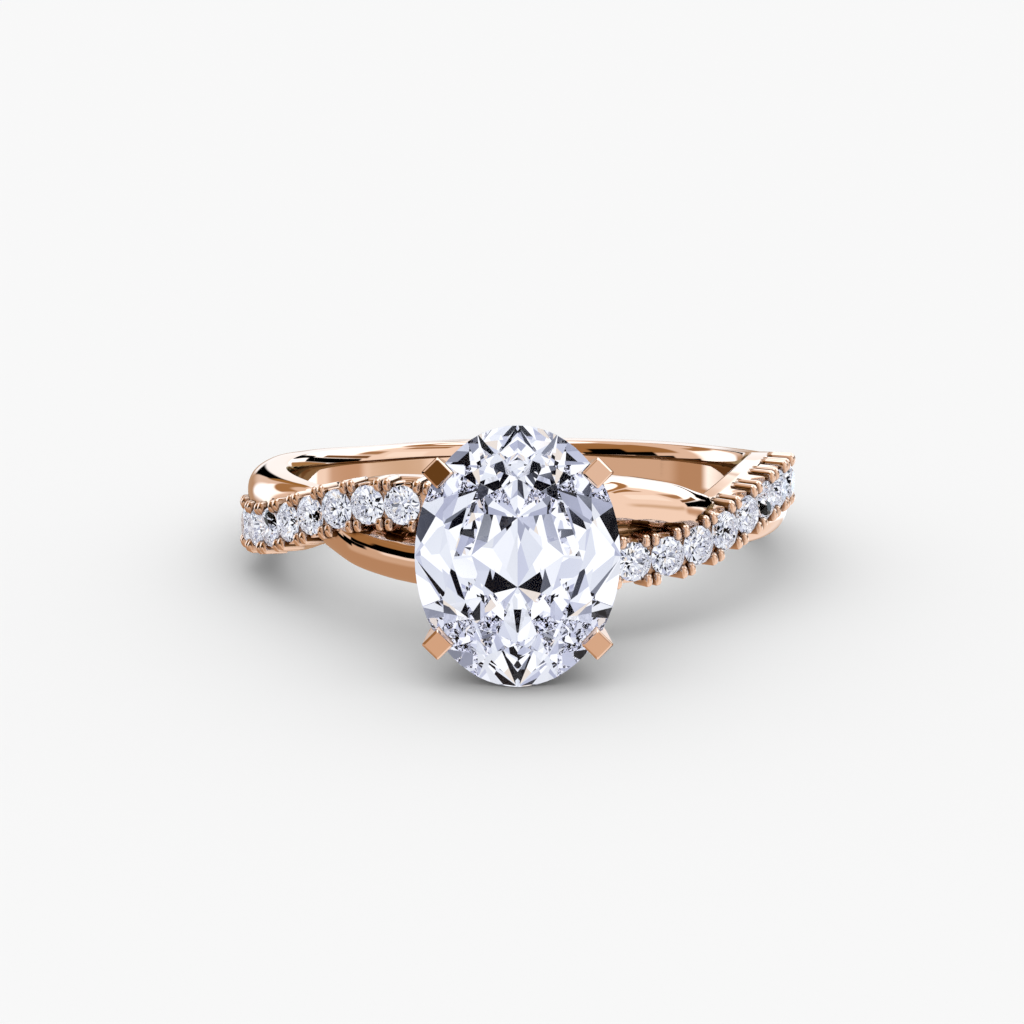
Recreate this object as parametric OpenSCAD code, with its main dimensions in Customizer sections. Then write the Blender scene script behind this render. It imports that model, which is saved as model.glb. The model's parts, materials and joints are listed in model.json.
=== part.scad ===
// Twisted shank ring: a plain polished strand and a strand set with small round
// stones cross on each side of a four-prong head that holds an oval stone.
//
// The ring is drawn with the finger's axis along Z, the head towards -Y, and angles
// counted round the hoop from the head, positive towards +X. Half a turn about the
// head's axis carries the ring onto itself, so the left side is the right one turned.
// It is then laid down as it rests on its side, on the oval stone and the back shank.

/* [Hoop] */
// Inner diameter, a US size 6
finger_d = 16.5; // [15:0.1:19]
// Thickness of the shank from the finger to its outer face
shank_t = 1.6; // [1.4:0.05:2]
// Width of the back shank, measured along the finger
shank_w = 1.64; // [1.4:0.05:2.2]
// Thickness of the web that joins the strands next to the finger
web_t = 0.6; // [0.5:0.05:0.8]

/* [Strands] */
// How far each strand swings to one side of the middle
rise = 1; // [0.9:0.02:1.1]
// Width of the plain strand
plain_w = 1.74; // [1.5:0.02:1.9]
// How far the plain strand dips where the stone strand passes over it
dip = 0.42; // [0.3:0.02:0.5]
// Width of the stone strand across its base
rail_w = 1.78; // [1.6:0.02:2]
// How deep the side of the rail is scalloped beside each stone
scallop = 0.15; // [0.1:0.01:0.18]
// Height of the rail's smooth base above the finger
rail_base_h = 0.98; // [0.8:0.02:1.1]
// Height of the rail's top above the finger
rail_h = 1.54; // [1.4:0.02:1.8]

/* [Small stones] */
// Number of small stones on each side
stones_a_side = 8; // [6:1:8]
// Diameter of a small stone
stone_d = 1.32; // [1.1:0.02:1.4]
// Gap between neighbouring small stones
stone_gap = 0.07; // [0.04:0.01:0.2]
// Angle of the first small stone from the head
first_stone = 24; // [22:0.5:28]
// Height of a small stone's girdle above the finger
girdle_h = 1.68; // [1.6:0.02:1.9]
// Height of the bead posts between the stones, above the finger
post_h = 1.86; // [1.75:0.01:2]

/* [Oval stone] */
// Length of the oval stone
oval_l = 9; // [8:0.1:9.6]
// Width of the oval stone
oval_w = 7; // [6.2:0.1:7.4]
// Height of its crown
oval_crown = 1.0; // [0.8:0.05:1.2]
// Depth of its pavilion
oval_pavilion = 3.0; // [2.6:0.05:3.2]
// Height of its girdle above the finger
oval_h = 5.86; // [5.6:0.02:6.4]

/* [Head] */
// Side of a square prong
prong_side = 0.78; // [0.6:0.02:1]
// How far a prong's tip stands above the girdle
prong_tip = 0.62; // [0.5:0.02:0.9]
// Where a prong's tip stands from the head's axis, as a share of the oval's half width
tip_x = 0.777; // [0.74:0.001:0.8]
// Where it stands along the finger, as a share of the oval's half length
tip_z = 0.656; // [0.62:0.001:0.68]
// Bevel round a prong's tip
tip_bevel = 0.08; // [0.04:0.01:0.15]
// How far below the oval stone's girdle the prongs bend upright
knee_drop = 0.4; // [0.3:0.05:0.8]
// How far each prong's foot stands from the head's axis, towards the side
foot_x = 1.25; // [1:0.05:1.6]
// How far each prong's foot stands from the head's axis, along the finger
foot_z = 1.15; // [0.9:0.05:1.4]
// How far the prongs' feet reach into the shank
foot_sink = 0.45; // [0.35:0.05:0.6]
// Thickness of the gallery rail
gallery_d = 0.8; // [0.6:0.05:1]
// Height of the gallery rail above the finger
gallery_h = 3.3; // [2.9:0.05:3.6]

/* [Fits] */
// Clearance between a stone and its seat
seat_gap = 0.03; // [0.02:0.01:0.06]

/* [Hidden] */
gold = "#d99f7c";
diamond = "#eef1f8";

bore_r = finger_d / 2;
shank_r = bore_r + shank_t;
// Sections start inside the finger hole and are cut back to it by the bore
bore_cut = 0.3;
root_r = bore_r - bore_cut;
// How far a section narrows from the web down to that start
root_taper = 0.15;
// Where the plain strand's sides end and its dome begins
waist_r = bore_r + 0.7;
// Least distance between neighbouring points of a section
edge = 0.01;
web_r = bore_r + web_t;
stone_r = bore_r + girdle_h;
oval_r = bore_r + oval_h;
pitch = stone_d + stone_gap;

// Number of a brilliant cut's main facets
MAINS = 8;
// Proportions of a brilliant cut, as shares of its girdle's radius
TABLE = 0.58;
STAR = 0.78;
LOWER_HALF = 0.25;
// Depths of a small stone, as shares of its diameter
SMALL_CROWN = 0.15;
SMALL_GIRDLE = 0.04;
SMALL_PAVILION = 0.43;
// Thickness of the oval stone's girdle
oval_girdle = 0.2;

// Bevel of a bead post's outer corner, across the rail and down
POST_BEVEL = [0.03, 0.05];
// Slope at the top of the rail's smooth base
base_slope = 0.1;
// Size of a prong's foot as a share of its tip's
FOOT_SIZE = 0.9;
// Share of its lean that a prong keeps above the knee
KNEE_LEAN = 0.6;
// Size of the gallery rail as a share of the oval through the middles of the prongs
GALLERY_SIZE = 0.94;
// Steps round the gallery rail, and round its wire
GALLERY_STEPS = 24;
WIRE_STEPS = 6;
// Steps along the bare front of the hoop, and along its bare back
FRONT_STEPS = 4;
BACK_STEPS = 14;
// The plain strand's section: exponent of its curve at the front, and what the back adds
PLAIN_CURVE = 2.4;
BACK_CURVE = 0.8;
// Angles from the head at which the strands begin to merge into the back shank, and
// over which they do
BACK_FROM = 96;
BACK_SPAN = 60;
// Angle at which the plain strand dips the most, and how far the dip reaches either way
DIP_AT = 52;
DIP_SPAN = 17;
// Points of the bare rail's rounded section, as shares of its half width, and the
// exponent of its curve
RAIL_POINTS = [0, 0.3, 0.52, 0.74, 0.92, 1];
RAIL_CURVE = 3;
// How far the leaning back shank reaches down from the dome's start, as a share of its
// half width
BACK_ROUND = 1.09;

// Course of the strands on the right: angle from the head, then the height of the
// stone strand and of the plain strand as shares of the rise
COURSE = [
    [0, 0, 0],
    [10, -0.6, 0.62],
    [20, -0.97, 1.02],
    [26, -0.99, 0.96],
    [32, -0.91, 0.8],
    [38, -0.72, 0.58],
    [44, -0.46, 0.24],
    [50, -0.14, -0.06],
    [56, 0.17, -0.2],
    [64, 0.52, -0.25],
    [72, 0.72, -0.27],
    [80, 0.78, -0.27],
    [90, 0.7, -0.26],
    [100, 0.46, -0.25],
    [110, 0.33, -0.23],
    [122, 0.22, -0.13],
    [140, 0.14, -0.03],
    [160, 0.06, 0],
    [180, 0, 0]
];

// Smooth interpolation of a table's column c at x, through the rows on each side
function row_before(table, x, i = 0) =
    i >= len(table) - 2 || table[i + 1][0] > x ? i : row_before(table, x, i + 1);
function slope_at(table, i, c) =
    let (a = table[max(i - 1, 0)], b = table[min(i + 1, len(table) - 1)])
    (b[c] - a[c]) / (b[0] - a[0]);
function column(table, x, c) =
    let (i = row_before(table, x), a = table[i], b = table[i + 1])
    let (d = b[0] - a[0], t = (x - a[0]) / d, m = slope_at(table, i, c) * d)
    let (n = slope_at(table, i + 1, c) * d)
    (2 * pow(t, 3) - 3 * t * t + 1) * a[c] + (pow(t, 3) - 2 * t * t + t) * m
    + (3 * t * t - 2 * pow(t, 3)) * b[c] + (pow(t, 3) - t * t) * n;

function smooth(x) = let (t = min(max(x, 0), 1)) t * t * (3 - 2 * t);
function side_of(a) = a < 0 ? -1 : 1;
function rail_z(a) = side_of(a) * rise * column(COURSE, abs(a), 1);
function plain_z(a) = side_of(a) * rise * column(COURSE, abs(a), 2);
// Slant of the stone strand against the hoop
function rail_slant(a) = atan((rail_z(a + 1) - rail_z(a - 1)) / (stone_r * 2 * PI / 180));

// Angle and height of the point that lies the distance u across the stone strand
function across(a, u) =
    let (s = rail_slant(a))
    [a - u * sin(s) * 180 / PI / stone_r, rail_z(a) + u * cos(s)];

// A point at radius r, angle a from the head and height z
function on_hoop(r, a, z) = [r * sin(a), -r * cos(a), z];

// Joins sections, each a list of points, into one closed solid with two end faces
module loft(rings) {
    n = len(rings);
    m = len(rings[0]);
    polyhedron(
        points = [for (ring = rings) each ring],
        faces = concat(
            [[for (j = [m - 1:-1:0]) j]],
            [
                for (i = [0:n - 2], j = [0:m - 1])
                    let (a = i * m + j, b = i * m + (j + 1) % m, c = b + m, d = a + m)
                        each [[a, b, c], [a, c, d]]
            ],
            [[for (j = [0:m - 1]) (n - 1) * m + j]]
        ),
        convexity = 8
    );
}

// Joins sections into a closed loop, the last one to the first
module loop(rings) {
    n = len(rings);
    m = len(rings[0]);
    polyhedron(
        points = [for (ring = rings) each ring],
        faces = [
            for (i = [0:n - 1], j = [0:m - 1])
                let (a = i * m + j, b = i * m + (j + 1) % m)
                let (c = (b + m) % (n * m), d = (a + m) % (n * m))
                    each [[a, b, c], [a, c, d]]
        ],
        convexity = 8
    );
}

// Both strands narrow to the back shank's width behind the splits
function to_back(a) = smooth((abs(a) - BACK_FROM) / BACK_SPAN);
function plain_half(a) = (plain_w + (shank_w - plain_w) * to_back(a)) / 2;
function rail_half(a) = (rail_w + (shank_w - rail_w) * to_back(a)) / 2;
function plain_top(a) = shank_r - dip * (1 - smooth(abs(abs(a) - DIP_AT) / DIP_SPAN));
// Radius of the plain strand's rounded top at height z, or of the web beside it
function plain_r(a, z) =
    let (x = abs(z - plain_z(a)) / plain_half(a), n = PLAIN_CURVE + BACK_CURVE * to_back(a))
    x >= 1 ? web_r : max(web_r, waist_r + (plain_top(a) - waist_r) * pow(1 - pow(x, n), 1 / n));

// Angles of the small stones, an even pitch along the strand
function next_angle(a) =
    a + pitch * 180 / PI / stone_r * cos(rail_slant(a + pitch * 90 / PI / stone_r));
function stone_angle(k) = k == 0 ? first_stone : next_angle(stone_angle(k - 1));
function post_angle(k) =
    k == 0 ? 2 * first_stone - (stone_angle(0) + stone_angle(1)) / 2
    : k == stones_a_side ? (3 * stone_angle(k - 1) - stone_angle(k - 2)) / 2
    : (stone_angle(k - 1) + stone_angle(k)) / 2;
STONE_ANGLES = [for (k = [0:stones_a_side - 1]) stone_angle(k)];
POST_ANGLES = [for (k = [0:stones_a_side]) post_angle(k)];

// The rail over half a stone's pitch, from the stone's middle to the middle of the pair
// of bead posts: share of the half pitch, cut of the scallop, rise of the posts, inner
// edge as a share of the stone's radius, depth of the seat's floor
HALF_PITCH = [
    [0, 1, 0, 1.04, 1],
    [0.45, 1, 0, 0.94, 0.64],
    [0.58, 0, 1, 0.86, 0.42],
    [0.86, 0, 1, 0.66, 0.1],
    [1, 0.35, 0.5, 0.62, 0]
];
seat_depth = stone_d * (SMALL_PAVILION + SMALL_GIRDLE / 2) + 2 * seat_gap - (girdle_h - rail_h);

// Stations along the right half of the hoop: angle, then the row that gives the rail's
// section. A station without a row lies where there are no stones.
first_post = POST_ANGLES[0];
last_post = POST_ANGLES[stones_a_side];
STATIONS = concat(
    [for (i = [0:FRONT_STEPS - 1]) [first_post * i / FRONT_STEPS]],
    [
        for (k = [0:stones_a_side - 1])
            let (a = POST_ANGLES[k], b = STONE_ANGLES[k], c = POST_ANGLES[k + 1])
                each concat(
                    [for (i = [4:-1:1]) [b + (a - b) * HALF_PITCH[i][0], HALF_PITCH[i]]],
                    [for (i = [0:3]) [b + (c - b) * HALF_PITCH[i][0], HALF_PITCH[i]]]
                )
    ],
    [[last_post, HALF_PITCH[4]]],
    [for (i = [1:BACK_STEPS]) [last_post + (180 - last_post) * i / BACK_STEPS]]
);

// Upper half of the rail's section as [height from its middle, radius]: the floor under
// the stones, the inner foot and top of the posts, the scalloped side and the base.
// Where there are no stones it is as round as the plain strand.
function rail_side(a, row) =
    let (half = rail_half(a), low = bore_r + rail_base_h, top = bore_r + rail_h)
    row == undef
    ? let (crown = shank_r - waist_r)
        [
            for (x = RAIL_POINTS)
                [x * half, waist_r + crown * pow(1 - pow(x, RAIL_CURVE), 1 / RAIL_CURVE)]
        ]
    : let (post = row[2] * (post_h - rail_h), cut = row[1] * scallop, inner = row[3] * stone_d / 2)
        [
            [0, top - row[4] * seat_depth], [inner - edge, top], [inner, top + post],
            [half - cut - POST_BEVEL[0], top + post - POST_BEVEL[1]],
            [half - cut, low + base_slope], [half, low]
        ];

// What lies beside the rail, from its edge to the outer edge of the ring: the web, then
// the plain strand where it shows. Each point is a height, a radius and an angle. The
// side is 1 above the rail and -1 below it.
FLANK = [0, 0.08, 0.3, 0.6, 0.85, 1];
function flank(a, side) =
    let (foot = across(a, side * (rail_half(a) + edge)), b = foot[0])
    let (plain = side * plain_z(b), half = plain_half(b))
    let (start = max(side * foot[1] + edge, plain - half))
    let (end = max(plain + half, start + len(FLANK) * edge))
    concat(
        [[foot[1], plain_r(b, foot[1]), b]],
        [
            for (t = FLANK)
                let (z = side * (start + (end - start) * t))
                [z, t == 1 ? web_r : plain_r(b, z), b]
        ]
    );

// A point of the rail, which the plain strand may cover where no seat is cut
function rail_point(a, u, r, cut = false) =
    let (p = across(a, u)) [p[1], cut ? r : max(r, plain_r(p[0], p[1])), p[0]];

// One section of the hoop, from below to above, closed inside the finger hole. It runs
// square across the stone strand, so that the posts stand square to the stones.
function hoop_section(a, row) =
    let (side = rail_side(a, row), up = flank(a, 1), down = flank(a, -1), n = len(FLANK))
    concat(
        [[down[n][0] + root_taper, root_r, down[n][2]]],
        [for (i = [n:-1:0]) down[i]],
        [for (i = [len(side) - 1:-1:1]) rail_point(a, -side[i][0], side[i][1])],
        [for (p = side) rail_point(a, p[0], p[1], row != undef && p[0] == 0)],
        up,
        [[up[n][0] - root_taper, root_r, up[n][2]]]
    );

// The whole hoop: back shank, plain strand and the rail that carries the small stones
module hoop() {
    count = len(STATIONS);
    stations = concat(
        [for (i = [count - 2:-1:1]) [-STATIONS[i][0], STATIONS[i][1]]],
        STATIONS
    );
    loop([
        for (s = stations)
            [for (p = hoop_section(s[0], s[1])) on_hoop(p[1], p[2], p[0])]
    ]);
}

// Places its children on the stone strand, Z outwards and X along the strand
module on_rail(a, r) {
    translate(on_hoop(r, a, rail_z(a))) rotate([0, 0, a]) rotate([90, 0, 0])
        rotate([0, 0, rail_slant(a)]) children();
}

// A brilliant cut about its girdle's middle, Z towards its table. The girdle's rim has
// rim_steps points to each half facet, and all facets are flat.
module brilliant(size, crown, girdle, pavilion, rim_steps) {
    half = 180 / MAINS;
    step = half / rim_steps;
    span = 2 * rim_steps;
    count = MAINS * span;
    up = crown / (1 - TABLE);
    mid_h = up * (1 - STAR * cos(half));
    low_h = pavilion * (1 - LOWER_HALF * cos(half));
    // Height lost by a half facet where the round rim passes outside its edge
    function rim_drop(i, mid_r, h) =
        let (f = (i % rim_steps) * step, chord = cos(half / 2))
        h * (cos(f - half / 2) - chord) / (chord * (1 - mid_r));
    function around(r, i, n, h) = [r * cos(i * 360 / n), r * sin(i * 360 / n), h];
    points = concat(
        [for (i = [0:MAINS - 1]) around(TABLE, i, MAINS, girdle / 2 + crown)],
        [for (i = [0:MAINS - 1]) around(STAR, i + 0.5, MAINS, girdle / 2 + mid_h)],
        [for (i = [0:count - 1]) around(1, i, count, girdle / 2 - rim_drop(i, STAR, mid_h))],
        [for (i = [0:count - 1]) around(1, i, count, -girdle / 2 + rim_drop(i, LOWER_HALF, low_h))],
        [for (i = [0:MAINS - 1]) around(LOWER_HALF, i + 0.5, MAINS, -girdle / 2 - low_h)],
        [[0, 0, -girdle / 2 - pavilion]]
    );
    mid = MAINS;
    rim = 2 * MAINS;
    under = rim + count;
    low = under + count;
    culet = low + MAINS;
    faces = concat(
        [[for (i = [MAINS - 1:-1:0]) i]],
        [for (i = [0:MAINS - 1]) [i, (i + 1) % MAINS, mid + i]],
        [for (i = [0:MAINS - 1]) [i, mid + i, rim + i * span, mid + (i + MAINS - 1) % MAINS]],
        [for (i = [0:MAINS - 1]) [mid + i, for (j = [rim_steps:-1:0]) rim + i * span + j]],
        [for (i = [0:MAINS - 1]) [mid + i, for (j = [span:-1:rim_steps]) rim + (i * span + j) % count]],
        [for (i = [0:count - 1]) [rim + i, rim + (i + 1) % count, under + (i + 1) % count, under + i]],
        [for (i = [0:MAINS - 1]) [low + i, for (j = [0:rim_steps]) under + i * span + j]],
        [for (i = [0:MAINS - 1]) [low + i, for (j = [rim_steps:span]) under + (i * span + j) % count]],
        [for (i = [0:MAINS - 1]) [culet, low + (i + MAINS - 1) % MAINS, under + i * span, low + i]]
    );
    scaled = [for (p = points) [p[0] * size[0] / 2, p[1] * size[1] / 2, p[2]]];
    polyhedron(points = scaled, faces = faces, convexity = 2);
}

module small_stone() {
    brilliant([stone_d, stone_d], stone_d * SMALL_CROWN, stone_d * SMALL_GIRDLE,
        stone_d * SMALL_PAVILION, 1);
}

// Places its children at the head, Z outwards, X along the oval stone's length
module on_head(r) {
    translate([0, -r, 0]) rotate([90, 0, 0]) rotate([0, 0, 90]) children();
}

module oval() {
    on_head(oval_r)
        brilliant([oval_l, oval_w], oval_crown, oval_girdle, oval_pavilion, 2);
}

module oval_seat() {
    on_head(oval_r)
        brilliant([oval_l + 2 * seat_gap, oval_w + 2 * seat_gap], oval_crown + seat_gap,
            oval_girdle + 2 * seat_gap, oval_pavilion + seat_gap, 2);
}

// Middle of the prong in the quarter where x and z are positive, from its foot, where
// share is 0, to its tip, where it is 1
foot_r = shank_r - foot_sink;
tip_r = oval_r + prong_tip;
function prong_middle(share) =
    let (foot = [foot_x, foot_z], tip = [tip_x * oval_w, tip_z * oval_l] / 2)
    foot + (tip - foot) * share;

// A square bar that leans outwards, its corners in the head's four directions
module prong(x_side, z_side) {
    half = prong_side / sqrt(2);
    knee_r = oval_r - knee_drop;
    lean = (tip_r - knee_r) / (tip_r - foot_r);
    function rim(share, r, half) =
        let (m = prong_middle(share))
        [
            for (d = [[1, 0], [0, -1], [-1, 0], [0, 1]])
                [x_side * m[0] + d[0] * half, -r, z_side * m[1] + d[1] * half]
        ];
    loft([
        rim(0, foot_r, half * FOOT_SIZE),
        rim(1 - lean * KNEE_LEAN, knee_r, half),
        rim(1, tip_r - tip_bevel, half),
        rim(1, tip_r, half - tip_bevel)
    ]);
}

// Oval rail that ties the four prongs together below the stone
module gallery() {
    middle = prong_middle((bore_r + gallery_h - foot_r) / (tip_r - foot_r));
    half = middle * sqrt(2) * GALLERY_SIZE;
    loop([
        for (i = [0:GALLERY_STEPS - 1])
            let (t = 360 / GALLERY_STEPS * i)
            let (n = [cos(t) / middle[0], sin(t) / middle[1]], out = n / norm(n))
                [
                    for (j = [0:WIRE_STEPS - 1])
                        let (u = 360 / WIRE_STEPS * (j + 0.5), wide = gallery_d / 2 * cos(u))
                            [
                                half[0] * cos(t) + out[0] * wide,
                                -bore_r - gallery_h - gallery_d / 2 * sin(u),
                                half[1] * sin(t) + out[1] * wide
                            ]
                ]
    ]);
}

module head() {
    for (x = [-1, 1], z = [-1, 1]) prong(x, z);
    gallery();
}

// How the ring lies: on the oval stone's end and on the rounded side of the back shank
under_r = oval_r - oval_girdle / 2;
table_r = oval_r + oval_girdle / 2 + oval_crown;
lean_angle = atan2((oval_l - shank_w * BACK_ROUND) / 2, under_r + waist_r);
floor_z = under_r * sin(lean_angle) - oval_l / 2 * cos(lean_angle);
front_y = -table_r * cos(lean_angle) - oval_l / 2 * TABLE * sin(lean_angle);
back_y = shank_r * cos(lean_angle);
module laid() {
    translate([0, -(front_y + back_y) / 2, -floor_z]) rotate([-lean_angle, 0, 0]) children();
}

// The metal, cast and soldered in one piece, with the finger hole bored through it
module ring_mount() {
    color(gold) laid() difference() {
        union() {
            hoop();
            difference() {
                head();
                oval_seat();
            }
        }
        cylinder(r = bore_r, h = 4 * rise + 4 * shank_w, center = true, $fn = 96);
    }
}

module oval_stone() {
    color(diamond) laid() oval();
}

module rail_stone(side, k) {
    color(diamond) laid() on_rail(side * STONE_ANGLES[k], stone_r) small_stone();
}

ring_mount();
oval_stone();
for (k = [1:stones_a_side]) {
    rail_stone(-1, k - 1);
    rail_stone(1, k - 1);
}
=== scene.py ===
"""Twisted shank ring in rose gold: detailed visual model, studio and camera.

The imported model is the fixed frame. Every piece is worked out in the ring's own frame, in
millimetres: the finger's axis is Z, the head points to -Y and angles run round the hoop
from the head, positive towards +X. RingFrame carries points from there into the frame of
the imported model, in metres, where the ring lies on its side.
"""
from __future__ import annotations

import json
import logging
import math
from dataclasses import dataclass, field
from enum import Enum
from typing import Sequence

import bpy
import numpy as np
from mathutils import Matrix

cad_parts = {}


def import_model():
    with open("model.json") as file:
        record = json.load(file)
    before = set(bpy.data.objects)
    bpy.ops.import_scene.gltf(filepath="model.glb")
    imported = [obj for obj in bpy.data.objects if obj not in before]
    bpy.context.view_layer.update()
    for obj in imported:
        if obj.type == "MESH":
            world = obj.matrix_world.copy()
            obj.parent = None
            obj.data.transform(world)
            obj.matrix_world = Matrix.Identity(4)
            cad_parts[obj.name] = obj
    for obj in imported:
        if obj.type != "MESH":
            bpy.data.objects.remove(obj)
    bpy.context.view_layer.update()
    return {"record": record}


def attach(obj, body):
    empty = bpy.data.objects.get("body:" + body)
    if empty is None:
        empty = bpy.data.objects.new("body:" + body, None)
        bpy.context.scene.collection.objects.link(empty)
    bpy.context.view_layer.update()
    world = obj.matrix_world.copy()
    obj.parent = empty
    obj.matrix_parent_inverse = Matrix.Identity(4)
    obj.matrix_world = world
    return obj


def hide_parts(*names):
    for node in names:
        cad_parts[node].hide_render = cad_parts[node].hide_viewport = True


LOG = logging.getLogger("ring")
Points = np.ndarray
Colour = tuple[float, float, float]
MM = 0.001
MOUNT = ("ring_mount",)

# Angle from one main facet of a brilliant cut to the next
EIGHTH = math.radians(45.0)


class Side(Enum):
    """The two halves of the ring, each the other turned half a turn about the head."""

    LEFT = -1
    RIGHT = 1


class Slot(Enum):
    """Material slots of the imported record."""

    GOLD = "rose_gold"
    DIAMOND = "diamond"


def smooth(x: Points | float) -> Points | float:
    """Ease from 0 to 1 while x runs from 0 to 1.

    Args:
        x: One value or an array of values.

    Returns:
        The eased value or values.
    """
    t = np.clip(x, 0.0, 1.0)
    return t * t * (3.0 - 2.0 * t)


def soft_max(a: Points, b: Points, blend: float) -> Points:
    """The higher of two surfaces, with a fillet where they meet.

    Args:
        a: Heights of the first surface.
        b: Heights of the second surface.
        blend: Size of the fillet.

    Returns:
        The heights of the joined surface.
    """
    return (a + b + np.sqrt((a - b) ** 2 + blend * blend) - blend * 0.5) / 2.0


# Sizes shared by the pieces


@dataclass(frozen=True)
class Sizes:
    """Sizes of the ring in millimetres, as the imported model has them.

    The first small stone's place is in degrees from the head, and the places of the prongs'
    tips are shares of the oval stone's half width and half length.
    """

    finger_d: float = 16.5
    shank_t: float = 1.6
    shank_w: float = 1.64
    web_t: float = 0.6
    plain_w: float = 1.74
    rail_w: float = 1.78
    dip: float = 0.42
    rail_base_h: float = 0.98
    rail_h: float = 1.6
    stones_a_side: int = 8
    stone_d: float = 1.32
    stone_gap: float = 0.07
    first_stone: float = 24.0
    girdle_h: float = 1.68
    oval_l: float = 9.0
    oval_w: float = 7.0
    oval_h: float = 5.86
    prong_side: float = 0.78
    prong_tip: float = 0.62
    tip_x: float = 0.777
    tip_z: float = 0.656
    foot_x: float = 1.25
    foot_z: float = 1.15
    gallery_d: float = 0.8
    gallery_h: float = 3.3

    @property
    def bore_r(self) -> float:
        """Radius of the finger hole."""
        return self.finger_d / 2

    @property
    def shank_r(self) -> float:
        """Radius of the shank's outer face."""
        return self.bore_r + self.shank_t

    @property
    def stone_r(self) -> float:
        """Radius of the small stones' girdles from the finger's axis."""
        return self.bore_r + self.girdle_h

    @property
    def oval_r(self) -> float:
        """Distance of the oval stone's girdle from the finger's axis."""
        return self.bore_r + self.oval_h


@dataclass(frozen=True)
class Course:
    """Course of the strands on the right, as shares of how far they swing.

    Each row is an angle from the head, the height of the stone strand and the height of
    the plain strand.
    """

    rise: float = 1.0
    rows: tuple[tuple[float, float, float], ...] = (
        (0, 0, 0),
        (10, -0.6, 0.62),
        (20, -0.97, 1.02),
        (26, -0.99, 0.96),
        (32, -0.91, 0.8),
        (38, -0.72, 0.58),
        (44, -0.46, 0.24),
        (50, -0.14, -0.06),
        (56, 0.17, -0.2),
        (64, 0.52, -0.25),
        (72, 0.72, -0.27),
        (80, 0.78, -0.27),
        (90, 0.7, -0.26),
        (100, 0.46, -0.25),
        (110, 0.33, -0.23),
        (122, 0.22, -0.13),
        (140, 0.14, -0.03),
        (160, 0.06, 0),
        (180, 0, 0),
    )

    def _height(self, angle: Points, column: int) -> Points:
        """Smooth height of one strand at some angles.

        Args:
            angle: Angles from the head in degrees, from -180 to 180.
            column: 1 for the stone strand, 2 for the plain strand.

        Returns:
            The heights in millimetres.
        """
        table = np.array(self.rows, float)
        x, y = table[:, 0], table[:, column]
        last = len(x) - 1
        before = np.maximum(np.arange(last + 1) - 1, 0)
        after = np.minimum(np.arange(last + 1) + 1, last)
        slope = (y[after] - y[before]) / (x[after] - x[before])
        a = np.abs(angle)
        i = np.clip(np.searchsorted(x, a, side="right") - 1, 0, last - 1)
        d = x[i + 1] - x[i]
        t = (a - x[i]) / d
        value = (
            (2 * t**3 - 3 * t**2 + 1) * y[i]
            + (t**3 - 2 * t**2 + t) * slope[i] * d
            + (3 * t**2 - 2 * t**3) * y[i + 1]
            + (t**3 - t**2) * slope[i + 1] * d
        )
        return np.where(np.asarray(angle) < 0, -1.0, 1.0) * self.rise * value

    def stone_z(self, angle: Points) -> Points:
        """Height of the stone strand's middle at some angles."""
        return self._height(np.asarray(angle, float), 1)

    def plain_z(self, angle: Points) -> Points:
        """Height of the plain strand's middle at some angles."""
        return self._height(np.asarray(angle, float), 2)

    def slant(self, angle: Points, radius: float) -> Points:
        """Slant of the stone strand against the hoop, in radians.

        Args:
            angle: Angles from the head in degrees.
            radius: Radius at which the slant is measured.

        Returns:
            The slant, positive where the strand climbs as the angle grows.
        """
        rise = self.stone_z(angle + 1.0) - self.stone_z(angle - 1.0)
        return np.arctan(rise / (radius * math.radians(2.0)))


class RingFrame:
    """Carries points from the ring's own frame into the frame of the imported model."""

    def __init__(self, record: dict) -> None:
        """Read the hoop's middle and the finger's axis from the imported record.

        Args:
            record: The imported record, whose first mount is the finger hole.
        """
        mount = record["mounts"][0]
        self.middle = np.array(mount["pos_m"], float)
        self.lean = math.asin(mount["axis"][1])

    def to_model(self, points: Points) -> Points:
        """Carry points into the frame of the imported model.

        Args:
            points: Points of the ring's frame, in millimetres.

        Returns:
            The same points in the model's frame, in metres.
        """
        p = np.asarray(points, float) * MM
        c, s = math.cos(self.lean), math.sin(self.lean)
        turned = np.stack([p[:, 0], p[:, 1] * c + p[:, 2] * s, -p[:, 1] * s + p[:, 2] * c], 1)
        return turned + self.middle


def on_hoop(radius: Points, angle: Points, z: Points) -> Points:
    """Points at some radii, angles from the head in degrees, and heights."""
    a = np.radians(angle)
    return np.stack([radius * np.sin(a), -radius * np.cos(a), z], -1)


# Mesh making


@dataclass
class Shape:
    """A mesh in the making: points in the ring's frame, faces, and a material for each."""

    points: list = field(default_factory=list)
    faces: list = field(default_factory=list)
    finish: list = field(default_factory=list)

    def add(
        self, points: Points, faces: Sequence[Sequence[int]], finish: Sequence[int] | None = None
    ) -> None:
        """Add points and the faces between them.

        Args:
            points: New points, one row each.
            faces: Faces as lists of indices into the new points.
            finish: Index of each face's material, or nothing if all have the first one.
        """
        start = len(self.points)
        self.points.extend(np.asarray(points, float).tolist())
        self.faces.extend([[i + start for i in f] for f in faces])
        self.finish.extend(finish or [0] * len(faces))

    def add_loft(self, rings: Points, closed: bool = False) -> None:
        """Join rings of points into one skin.

        Args:
            rings: Array of rings, each a closed ring of points.
            closed: Whether the last ring joins the first; otherwise both ends get a face.
        """
        n, m = rings.shape[0], rings.shape[1]
        faces = []
        for i in range(n if closed else n - 1):
            a, b = i * m, ((i + 1) % n) * m
            for j in range(m):
                k = (j + 1) % m
                faces.append((a + j, a + k, b + k, b + j))
        if not closed:
            faces.append(tuple(range(m - 1, -1, -1)))
            faces.append(tuple((n - 1) * m + j for j in range(m)))
        self.add(rings.reshape(-1, 3), faces)


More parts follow.
